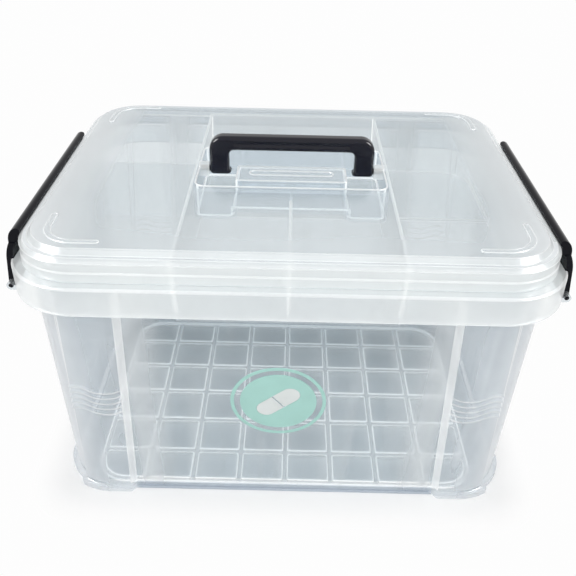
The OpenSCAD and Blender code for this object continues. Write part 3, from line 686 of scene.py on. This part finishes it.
def make_lid():
    t = LID_T
    lid = loft("lid_shell", [
        well_loop(t, WELL_Z - t), well_loop(t, PANEL_Z - t), edge_loop(-PANEL_EDGE - 0.6, PANEL_Z - t),
        edge_loop(-PANEL_IN - 1, FLANGE_Z - t), edge_loop(-t, FLANGE_Z - t), edge_loop(-t, LID_Z),
        edge_loop(0, LID_Z), edge_loop(0, LID_Z + 5.7), edge_loop(-0.5, LID_Z + 6.2),
        edge_loop(-0.2, FLANGE_Z - 2.4), edge_loop(-2.6, FLANGE_Z), edge_loop(-PANEL_IN, FLANGE_Z),
        edge_loop(-PANEL_EDGE, PANEL_Z), well_loop(1, PANEL_Z), well_loop(0, PANEL_Z - 1), well_loop(-0.6, WELL_Z)])
    for x in (-POCKET_MID, POCKET_MID):
        pocket = block("pocket", POCKET_HALF + t, POCKET_B + t, POCKET_R + t, POCKET_Z - t, WELL_Z - t / 2, x)
        combine(lid, pocket, "UNION")
    combine(lid, block("bridge", MIDDLE, BRIDGE_HALF, BRIDGE_R, WELL_Z - t / 2, BRIDGE_Z), "UNION")
    for x in (-POCKET_MID, POCKET_MID):
        combine(lid, block("pocket", POCKET_HALF, POCKET_B, POCKET_R, POCKET_Z, PANEL_Z - 3, x), "DIFFERENCE")
    combine(lid, block("bridge", MIDDLE - t, BRIDGE_HALF - t, BRIDGE_R, POCKET_Z, BRIDGE_Z - t), "DIFFERENCE")
    soften(lid, 0.5, 2, 34, EDGED, 50, off_well, True)
    remark(lid, lid_rule)
    return lid


def near_well(p):
    return abs(p.x) < WELL_A + 2.5 and abs(p.y) < WELL_B + 2.5 and p.z > POCKET_Z - 0.5


def off_well(p):
    return not near_well(p)


def lid_rule(middle, normal, number):
    """The lid's upright edge and its slope are milkier than the panel, and the well's walls bluer; at the back the
    edge gets a darker tint, painted shade
    """
    back_edge = 98
    if number:
        return number
    if near_well(middle) and abs(normal.z) < 0.6:
        return IN_WELL
    out = outside_by(middle, EDGE_A, EDGE_B, LID_R)
    if out > -3 or (middle.z > FLANGE_Z - 3 and out > 0.3 - PANEL_EDGE):
        # the back of the edge takes the darker tint, painted shade
        return FAR_OFF if middle.y > back_edge else BANDED
    return PLAIN


def outside_by(p, a, b, r):
    """How far p lies outside a rectangle with round corners, in plan; less than 0 inside"""
    x, y = abs(p.x) - (a - r), abs(p.y) - (b - r)
    return math.hypot(x, y) - r if x > 0 and y > 0 else max(x, y) - r


finish_piece(make_lid(), "lid_body", "lid", "clear_lid", LIDS, EDGE, BAND, FAR, NICHE)


def ways_along(pts):
    """The direction of a line at each of its points"""
    return [(pts[min(i + 1, len(pts) - 1)] - pts[max(i - 1, 0)]).normalized() for i in range(len(pts))]


def strip_around(name, centre_line, width, z0, z1):
    """A low bead along a line, with a rounded top and round ends"""
    section = [(-0.5, 0), (-0.5, 0.45), (-0.38, 0.8), (-0.2, 0.96), (0, 1),
               (0.2, 0.96), (0.38, 0.8), (0.5, 0.45), (0.5, 0)]
    pts = [Vector(p) for p in centre_line]
    ways = ways_along(pts)
    ends = [(s, math.sqrt(1 - (1 - s) ** 2)) for s in (0.0, 0.35, 0.65, 0.87)]
    rows = [(pts[0] - ways[0] * width / 2 * (1 - s), ways[0], scale) for s, scale in ends]
    rows += [(p, d, 1.0) for p, d in zip(pts, ways)]
    rows += [(pts[-1] + ways[-1] * width / 2 * (1 - s), ways[-1], scale) for s, scale in reversed(ends)]
    verts = []
    for p, d, scale in rows:
        for u, h in section:
            q = p + Vector((-d.y, d.x)) * (u * width * scale)
            verts.append((q.x, q.y, z0 + (z1 - z0) * h * (0.25 + 0.75 * scale)))
    return new_object(name, verts, skin(len(rows), len(section), False), None, 60)


def around(line, reach, z):
    """The outline, with round ends, of a band along a line"""
    pts = [Vector(p) for p in line]
    ways = ways_along(pts)
    left = [(p.x - d.y * reach, p.y + d.x * reach, z) for p, d in zip(pts, ways)]
    right = [(p.x + d.y * reach, p.y - d.x * reach, z) for p, d in zip(pts, ways)]

    def end(p, d):
        turns = [math.radians(t) for t in (75, 45, 15, -15, -45, -75)]
        return [(p.x + reach * (d.x * math.cos(t) - d.y * math.sin(t)),
                 p.y + reach * (d.y * math.cos(t) + d.x * math.sin(t)), z) for t in turns]
    return left + end(pts[-1], ways[-1]) + right[::-1] + end(pts[0], -ways[0])


def corner_beads():
    """The four L-shaped stacking beads, each with a painted highlight, a bright rod, round it"""
    side_in, front_in, width, height = 10, 6.2, 3.6, 1.2
    a, b, r = EDGE_A - PANEL_EDGE - side_in, EDGE_B - PANEL_EDGE - front_in, LID_R - PANEL_EDGE - side_in
    bend, arm = r + 6, r + 13
    for sx, sy, word in ((1, 1, "back_right"), (-1, 1, "back_left"), (-1, -1, "front_left"), (1, -1, "front_right")):
        line = [(a, b - arm), (a, b - bend)]
        line += [(x, y) for x, y, _ in arc(a - r, b - r, r, [90 * i / 12 for i in range(13)], 0)]
        line += [(a - bend, b), (a - arm, b)]
        line = [(sx * x, sy * y) for x, y in line]
        piece = strip_around(f"stacking_bead_{word}", line, width, PANEL_Z - 0.05, PANEL_Z + height)
        finish_piece(piece, "lid_body", "lid", "clear_lid", SOFT)
        outline = highlight_rods(f"bead_outline_{word}", [(around(line, 1.6, PANEL_Z + 0.4), True)], 0.42)
        finish_piece(outline, "lid_body", "lid", "clear_lid", EDGE)


corner_beads()


def well_edges():
    """Painted highlights: bright rods round the lips of the well and of its bridge, and along its inner edges"""
    out, span = 0.4, POCKET_B
    rim, low, shelf, top = PANEL_Z - out, POCKET_Z + out, WELL_Z + 0.3, BRIDGE_Z - out
    bridge = plain_loop(MIDDLE - out, BRIDGE_HALF - out, BRIDGE_R - out, top, 6)
    lines = []
    for x in (-1, 1):
        pocket = plain_loop(POCKET_HALF - out, span - out, POCKET_R - out, low, 8)
        lines.append(([(px + x * POCKET_MID, py, z) for px, py, z in pocket], True))
        for y in (-1, 1):
            for ax, ay, az, by, bz in ((36, 12, shelf, 30.6, shelf), (35.4, 10.9, shelf, 10.9, top),
                                       (37.2, 29.6, low, 29.6, shelf), (58.2, 29.8, low, 29.8, rim)):
                lines.append(([(x * ax, y * ay, az), (x * ax, y * by, bz)], False))
    for y in (-1, 1):
        lines.append(([(-MIDDLE, y * 30.9, shelf), (MIDDLE, y * 30.9, shelf)], False))
    return (highlight_rods("well_lips", [(well_loop(0.2, rim), True), (bridge, True)], 0.6),
            highlight_rods("well_edges", lines, 0.7))


well_lips, well_lines = well_edges()
finish_piece(well_lips, "lid_body", "lid", "clear_lid", EDGE)
finish_piece(well_lines, "lid_body", "lid", "clear_lid", LINE)


def oval_bead(a=27.3, b=3.3, r=3.2):
    """The long bead on the bridge"""
    line = [(x, y) for x, y, _ in plain_loop(a, b, r, 0, 8)]
    n = len(line)
    section = [(-0.7, 0), (-0.6, 0.5), (-0.25, 0.8), (0.25, 0.8), (0.6, 0.5), (0.7, 0)]
    verts, faces = [], []
    for i, (x, y) in enumerate(line):
        p, q = Vector(line[i - 1]), Vector(line[(i + 1) % n])
        d = (q - p).normalized()
        for u, h in section:
            verts.append((x + d.y * u, y - d.x * u, BRIDGE_Z - 0.05 + h))
    m = len(section)
    for i in range(n):
        for j in range(m - 1):
            k = (i + 1) % n
            faces.append((i * m + j, k * m + j, k * m + j + 1, i * m + j + 1))
    return new_object("oval_bead", verts, faces, None, 60)


finish_piece(oval_bead(), "lid_body", "lid", "clear_lid", BEAD)


def lug(name, side):
    """The block on the well's end wall that holds the handle's pin"""
    half, x0, x1, bore_end = 4.2, 53.5, 60.4, 59.25
    outline = [(-half, -half), (half, -half), (half, 0)]
    outline += [(half * math.cos(math.radians(t)), half * math.sin(math.radians(t))) for t in range(12, 180, 12)]
    outline += [(-half, 0)]
    body = prism(name, outline, x0, x1)
    combine(body, prism("bore", circle(HANDLE_PIN_R + PIN_GAP), x0 - 1, bore_end), "DIFFERENCE")
    along_x(body, HANDLE_Z)
    if side < 0:
        mirrored(body, ACROSS)
    soften(body, 0.4)
    return body


for side, word in ((-1, "left"), (1, "right")):
    finish_piece(lug(f"{word}_lug", side), "lid_body", "lid", "clear_lid", BAND)


# Tray

def make_tray():
    t = TRAY_T
    flange = -LIP_IN - TUB_T / 4

    def foot(d, z):
        return plain_loop(TRAY_FA - d, TRAY_FB - d, TRAY_FR - d, z)
    tray = loft("tray_shell", [
        foot(1, TRAY_Z), foot(0, TRAY_Z + 1), plain_loop(TRAY_A, TRAY_B, TRAY_R, TRAY_TOP - t),
        edge_loop(flange, TRAY_TOP - t), edge_loop(flange, TRAY_TOP),
        plain_loop(TRAY_A - t, TRAY_B - t, TRAY_R - t, TRAY_TOP), foot(t, TRAY_FLOOR + 1), foot(t + 1, TRAY_FLOOR)])
    h, x, y = t / 2, DIVIDER_X, CROSS_Y
    fa, fb, ta, tb = TRAY_FA - h, TRAY_FB - h, TRAY_A - h, TRAY_B - h
    low, top = TRAY_Z + h, TRAY_TOP
    # each wall's plan at its foot, at its top, and how high it stands
    walls = [((mid - h - 0.2, mid + h + 0.2, -fb, fb), (mid - h, mid + h, -tb, tb), top) for mid in (-x, x)]
    walls += [((-h, h, -fb, -WELL_FRONT), (-h, h, -tb, -WELL_FRONT), top),
              ((-h, h, -LOW_FRONT, y), (-h, h, -LOW_FRONT, y), UNDER_WELL),
              ((-x, x, y - h, y + h), (-x, x, y - h, y + h), UNDER_WELL),
              ((-fa, -x, y - h, y + h), (-ta, -x, y - h, y + h), top),
              ((x, fa, y - h, y + h), (x, fa, y - h, y + h), TRAY_FLOOR + 2)]
    for foot_plan, top_plan, height in walls:
        combine(tray, wedge("wall", foot_plan, top_plan, low, height), "UNION")
    bay = (-230, -x - h, y + h, 150)
    combine(tray, wedge("bay", bay, bay, TRAY_Z - 1, TRAY_TOP + 1), "DIFFERENCE")
    soften(tray, 0.35, 2, 34, EDGED)
    remark(tray, tray_rule)
    return tray


def tray_rule(middle, normal, number):
    """Dividers are milkier than the floor and their tops bright; the bay's front wall is clear"""
    near, front_wall = 1.3, -60
    if middle.x < -DIVIDER_X - 2 and abs(middle.y - CROSS_Y) < near:
        return PLAIN
    inside = outside_by(middle, TRAY_A - 2, TRAY_B - 2, TRAY_R - 2) < 0
    if inside and normal.z > 0.9 and middle.z > TRAY_FLOOR + 1:
        return EDGED
    on_wall = min(abs(abs(middle.x) - DIVIDER_X), abs(middle.x), abs(middle.y - CROSS_Y)) < near
    front = outside_by(middle, TRAY_FA - 3, TRAY_FB - 3, TRAY_FR - 3) > 0 and middle.y < front_wall
    if number == PLAIN and abs(normal.z) < 0.5 and (on_wall or front):
        return DIVIDING
    return number


finish_piece(make_tray(), "tray_body", "tray", "clear_tray", TRAY, EDGE, DIVIDER)


def divider_edges():
    """Painted highlights: bright rods on the tray's dividers, and where they meet the front and back walls"""
    r, low, x, y = 1.0, TRAY_FLOOR + 0.6, DIVIDER_X, CROSS_Y
    top, under, reach, foot = TRAY_TOP - r, UNDER_WELL - r, TRAY_B - TRAY_T, TRAY_FB - TRAY_T
    tops = [[(-x, -reach, top), (-x, reach, top)], [(x, -reach, top), (x, reach, top)],
            [(0, -reach, top), (0, -WELL_FRONT, top)], [(0, -LOW_FRONT, under), (0, y, under)],
            [(-x, y, under), (x, y, under)]]
    joints = [[(at, -reach, top), (at, -foot, low)] for at in (-x, 0, x)]
    joints += [[(at, reach, top), (at, foot, low)] for at in (-x, x)]
    return (highlight_rods("divider_tops", [(line, False) for line in tops], r),
            highlight_rods("divider_joints", [(line, False) for line in joints], 1.3))


divider_tops, divider_joints = divider_edges()
finish_piece(divider_tops, "tray_body", "tray", "clear_tray", LINE)
finish_piece(divider_joints, "tray_body", "tray", "clear_tray", GRID)


# Handle

def make_handle():
    """The bow, swept from foot to foot; its section is a rounded bar with a groove along the grip"""
    half, top, foot, leg, thick, depth, r = HANDLE_HALF, HANDLE_TOP, HANDLE_FOOT, 12.5, 9.4, 4.5, 2.6
    opening, outer_r, inner_r, flare, groove_end, groove_deep = half - leg, 9.0, 3.5, 1.2, 36.6, 0.8
    under = top - thick
    stations = []
    for z in [foot, foot + 0.5, foot + 1.2, foot + 2.5] + [foot + 2.5 + (top - outer_r - foot - 2.5) * i / 4
                                                           for i in range(1, 5)]:
        inner = opening - (flare if z < foot + 2 else 0)
        stations.append(((half, z), (inner, min(z, under - inner_r))))
    for i in range(1, 13):
        t = math.radians(90 * i / 12)
        c, s = math.cos(t), math.sin(t)
        stations.append(((half - outer_r + outer_r * c, top - outer_r + outer_r * s),
                         (opening - inner_r + inner_r * c, under - inner_r + inner_r * s)))
    stations += [((x, top), (x, under)) for x in (37.5, 36.5, 35, 20, 0)]
    stations += [((-ox, oz), (-ix, iz)) for (ox, oz), (ix, iz) in reversed(stations[:-1])]
    verts = []
    for (ox, oz), (ix, iz) in stations:
        o, i = Vector((ox, 0, oz)), Vector((ix, 0, iz))
        length = (o - i).length
        d = (o - i) / length
        groove = groove_deep if abs(ox) < groove_end and oz > top - 0.01 else 0.0
        small = 1.0 if oz < foot + 0.01 else (0.35 if oz < foot + 0.6 else 0.0)
        near, far, sec = r, length - r, []
        for cs, side, start in ((far, 1, 0), (near, 1, 90), (near, -1, 180), (far, -1, 270)):
            if start in (90, 270):
                sec += [(length / 2 + side * u, side * y) for u, y in (
                    (1.9, depth), (1.2, depth - groove), (-1.2, depth - groove), (-1.9, depth))]
            for k in range(6):
                a = math.radians(start + 18 * k)
                sec.append((cs + r * math.cos(a), side * (depth - r) + r * math.sin(a)))
        for s, y in sec:
            p = i + d * (s + (length / 2 - s) * 0.08 * small)
            verts.append((p.x, y * (1 - 0.1 * small), p.z))
    m, n = len(stations), len(sec)
    ends = [tuple(range(n)), tuple(range(m * n - 1, (m - 1) * n - 1, -1))]
    handle = new_object("handle_bow", verts, skin(m, n) + ends, None, 35)
    dimple_x, dimple_z, dimple_r, dimple_deep = 47.75, 204.55, 1.8, 0.8
    for x in (-dimple_x, dimple_x):
        for y0, y1 in ((-depth - 1, dimple_deep - depth), (depth - dimple_deep, depth + 1)):
            combine(handle, round_prism("dimple", x, dimple_z, dimple_r, y0, y1), "DIFFERENCE")
    soften(handle, 0.25, 2, 50)
    return handle


def make_pin(name, x0, x1, r, y, z, along):
    """A stub pin with a rounded end"""
    rows = [(x0, r), (x1 - 0.5, r), (x1 - 0.15, r * 0.93), (x1, r * 0.75)]
    verts, n = [], 28
    for x, rad in rows:
        for c, s in circle(rad, 0, n):
            verts.append((x, y + c, z + s) if along == "x" else (y + c, x, z + s))
    ends = [tuple(range(n)), tuple(range((len(rows) - 1) * n, len(rows) * n))]
    return new_object(name, verts, skin(len(rows), n) + ends, None, 40)


finish_piece(make_handle(), "handle_body", "carry_handle", "black_plastic", BLACK)
for side, word in ((-1, "left"), (1, "right")):
    pin = make_pin(f"{word}_handle_pin", 51, 58.9, HANDLE_PIN_R, 0, HANDLE_Z, "x")
    if side < 0:
        mirrored(pin, ACROSS)
    finish_piece(pin, "handle_body", "carry_handle", "black_plastic", BLACK)


# Latches

def make_latch(name, side):
    f, barrel, bend = FLANGE_Z, BARREL_R - 0.01, FLANGE_Z - 6.5
    slope = CLEAR * math.sqrt(2) - 2.6
    tip = EDGE_A - 1.2
    profile = [(LATCH_IN, LATCH_Z), (LATCH_X + barrel, LATCH_Z), (LATCH_X, bend)]
    for t in range(8, 90, 9):
        a = math.radians(t)
        profile.append((LATCH_X - 5.4 * (1 - math.cos(a)), bend + 8.2 * math.sin(a)))
    profile += [(tip + 1.2, f + 1.6), (tip + 0.4, f + 1.2), (tip, f + 0.6), (tip, f + slope + 1.2),
                (EDGE_A + CLEAR, f + slope - CLEAR), (EDGE_A + CLEAR, f - 5.6), (LATCH_IN, f - 8)]
    latch = laid(prism(name, profile, -LATCH_HALF, LATCH_HALF), 0)
    combine(latch, round_prism("barrel", LATCH_X, LATCH_Z, barrel, -LATCH_HALF, LATCH_HALF), "UNION")
    # the plate's upper corners are round, and the hook over them is a little shorter
    r, hook_z = 7.0, f - 7.0
    outline = [(LATCH_HALF, LATCH_Z - BARREL_R - 1), (LATCH_HALF, hook_z - r)]
    outline += [(LATCH_HALF - r + r * math.cos(math.radians(t)), hook_z - r + r * math.sin(math.radians(t)))
                for t in range(15, 76, 15)]
    outline += [(HOOK_HALF, hook_z + 0.4), (HOOK_HALF, f + 3)]
    outline += [(-y, z) for y, z in reversed(outline)]
    combine(latch, along_x(prism("mask", outline, 140, 170), 0), "INTERSECT")
    latch.data.transform(Matrix.Translation((0, LATCH_Y * MM, 0)))
    if side < 0:
        mirrored(latch, ACROSS)
    soften(latch, 0.5, 3, 30)
    return latch


for side, word in ((-1, "left"), (1, "right")):
    node = f"{word}_latch"
    finish_piece(make_latch(f"{word}_latch_bar", side), f"{node}_body", node, "black_plastic", LATCH_BLACK)
    for end, away in (("front", -1), ("back", 1)):
        pin = make_pin(f"{word}_latch_{end}_pin", -1, EAR_T, LATCH_PIN_R, LATCH_X, LATCH_Z, "y")
        if away < 0:
            mirrored(pin, (0, 1, 0))
        pin.data.transform(Matrix.Translation((0, (LATCH_Y + away * LATCH_HALF) * MM, 0)))
        if side < 0:
            mirrored(pin, ACROSS)
        finish_piece(pin, f"{node}_body", node, "black_plastic", LATCH_BLACK)


# Print: the CAD nodes stay and get their inks
for name, mat in (("badge_print", TEAL_INK), ("badge_capsule", PALE_INK)):
    nodes[name].data.materials.clear()
    nodes[name].data.materials.append(mat)


# Floor, light and camera

STUDIO_WHITE = 0.985


def looked_at(add):
    """1 for a ray that looks straight at something, mirrors it or passes through to it"""
    path = add("LightPath").outputs
    first = add("Math", {0: path["Is Camera Ray"], 1: path["Is Glossy Ray"]}, operation="MAXIMUM")
    return add("Math", {0: first, 1: path["Is Transmission Ray"]}, operation="MAXIMUM")


def make_floor(half=6):
    mesh = bpy.data.meshes.new("studio_floor")
    mesh.from_pydata([(-half, -half, 0), (half, -half, 0), (half, half, 0), (-half, half, 0)], [], [(0, 1, 2, 3)])
    obj = bpy.data.objects.new("studio_floor", mesh)
    bpy.context.scene.collection.objects.link(obj)
    mat, add = node_material("studio_floor")
    plain = add("BsdfDiffuse", {"Color": (0.93, 0.93, 0.93, 1)})
    white = add("Emission", {"Color": (STUDIO_WHITE, STUDIO_WHITE, STUDIO_WHITE, 1)})
    # white for what looks at it, away from the object's shadow
    spread = add("VectorMath", {0: add("TexCoord").outputs["Object"]}, operation="ABSOLUTE")
    beyond = add("VectorMath", {0: spread, 1: (0.135, 0.088, 0)}, operation="SUBTRACT")
    outside = add("VectorMath", {0: beyond, 1: (0, 0, 0)}, operation="MAXIMUM")
    reach = add("VectorMath", {0: outside}, operation="LENGTH").outputs["Value"]
    away = add("MapRange", {"Value": reach, "From Max": 0.04}, interpolation_type="SMOOTHSTEP")
    share = add("Math", {0: looked_at(add), 1: away}, operation="MULTIPLY")
    add("OutputMaterial", {"Surface": add("MixShader", {0: share, 1: plain, 2: white})})
    mesh.materials.append(mat)


make_floor()


def lamp(name, place, size, power, mirrored_too=True):
    light = bpy.data.lights.new(name, "AREA")
    light.shape = "RECTANGLE"
    light.size, light.size_y = size
    light.energy = power
    obj = bpy.data.objects.new(name, light)
    obj.location = place
    obj.visible_glossy = mirrored_too
    obj.rotation_mode = "QUATERNION"
    obj.rotation_quaternion = (Vector((0, 0, 0.1)) - Vector(place)).to_track_quat("-Z", "Y")
    bpy.context.scene.collection.objects.link(obj)
    return obj


def make_world(light, seen_white):
    """Plain studio light, and white for what looks straight at it or mirrors it"""
    world = bpy.data.worlds.new("studio")
    bpy.context.scene.world = world
    add = Nodes(world)
    strength = add("MapRange", {"Value": looked_at(add), "To Min": light, "To Max": seen_white})
    level = add("Background", {"Color": (1, 1, 1, 1), "Strength": strength})
    add("OutputWorld", {"Surface": level})


make_world(0.40, STUDIO_WHITE)
lamp("key", (-0.15, -0.95, 1.25), (1.0, 0.6), 12, mirrored_too=False)
lamp("side", (0.9, -0.3, 0.8), (0.7, 0.7), 1, mirrored_too=False)
for x, word in ((-1.1, "left"), (1.1, "right")):
    glint = lamp(f"{word}_glint", (x, -0.5, 0.9), (0.6, 0.6), 22)
    glint.visible_diffuse = False

camera = bpy.data.cameras.new("camera")
camera.sensor_width = 36
focal_length, photo_width = 727, 576
camera.lens = focal_length / photo_width * camera.sensor_width
camera.clip_start, camera.clip_end = 0.01, 50
eye = bpy.data.objects.new("camera", camera)
bpy.context.scene.collection.objects.link(eye)
bpy.context.scene.camera = eye
pitch, yaw, roll = math.radians(33.17), math.radians(0.04), math.radians(-1.29)
right = Vector((math.cos(yaw), math.sin(yaw), 0))
ahead = Vector((-math.sin(yaw), math.cos(yaw), 0)) * math.cos(pitch) + Vector((0, 0, -math.sin(pitch)))
down = ahead.cross(right)
side_x = right * math.cos(roll) + down * math.sin(roll)
side_y = -right * math.sin(roll) + down * math.cos(roll)
eye.matrix_world = Matrix((
    (side_x.x, -side_y.x, -ahead.x, -0.0003),
    (side_x.y, -side_y.y, -ahead.y, -0.441),
    (side_x.z, -side_y.z, -ahead.z, 0.393),
    (0, 0, 0, 1)))

bpy.context.scene.view_settings.view_transform = "Standard"
bpy.context.scene.cycles.transparent_max_bounces = 64
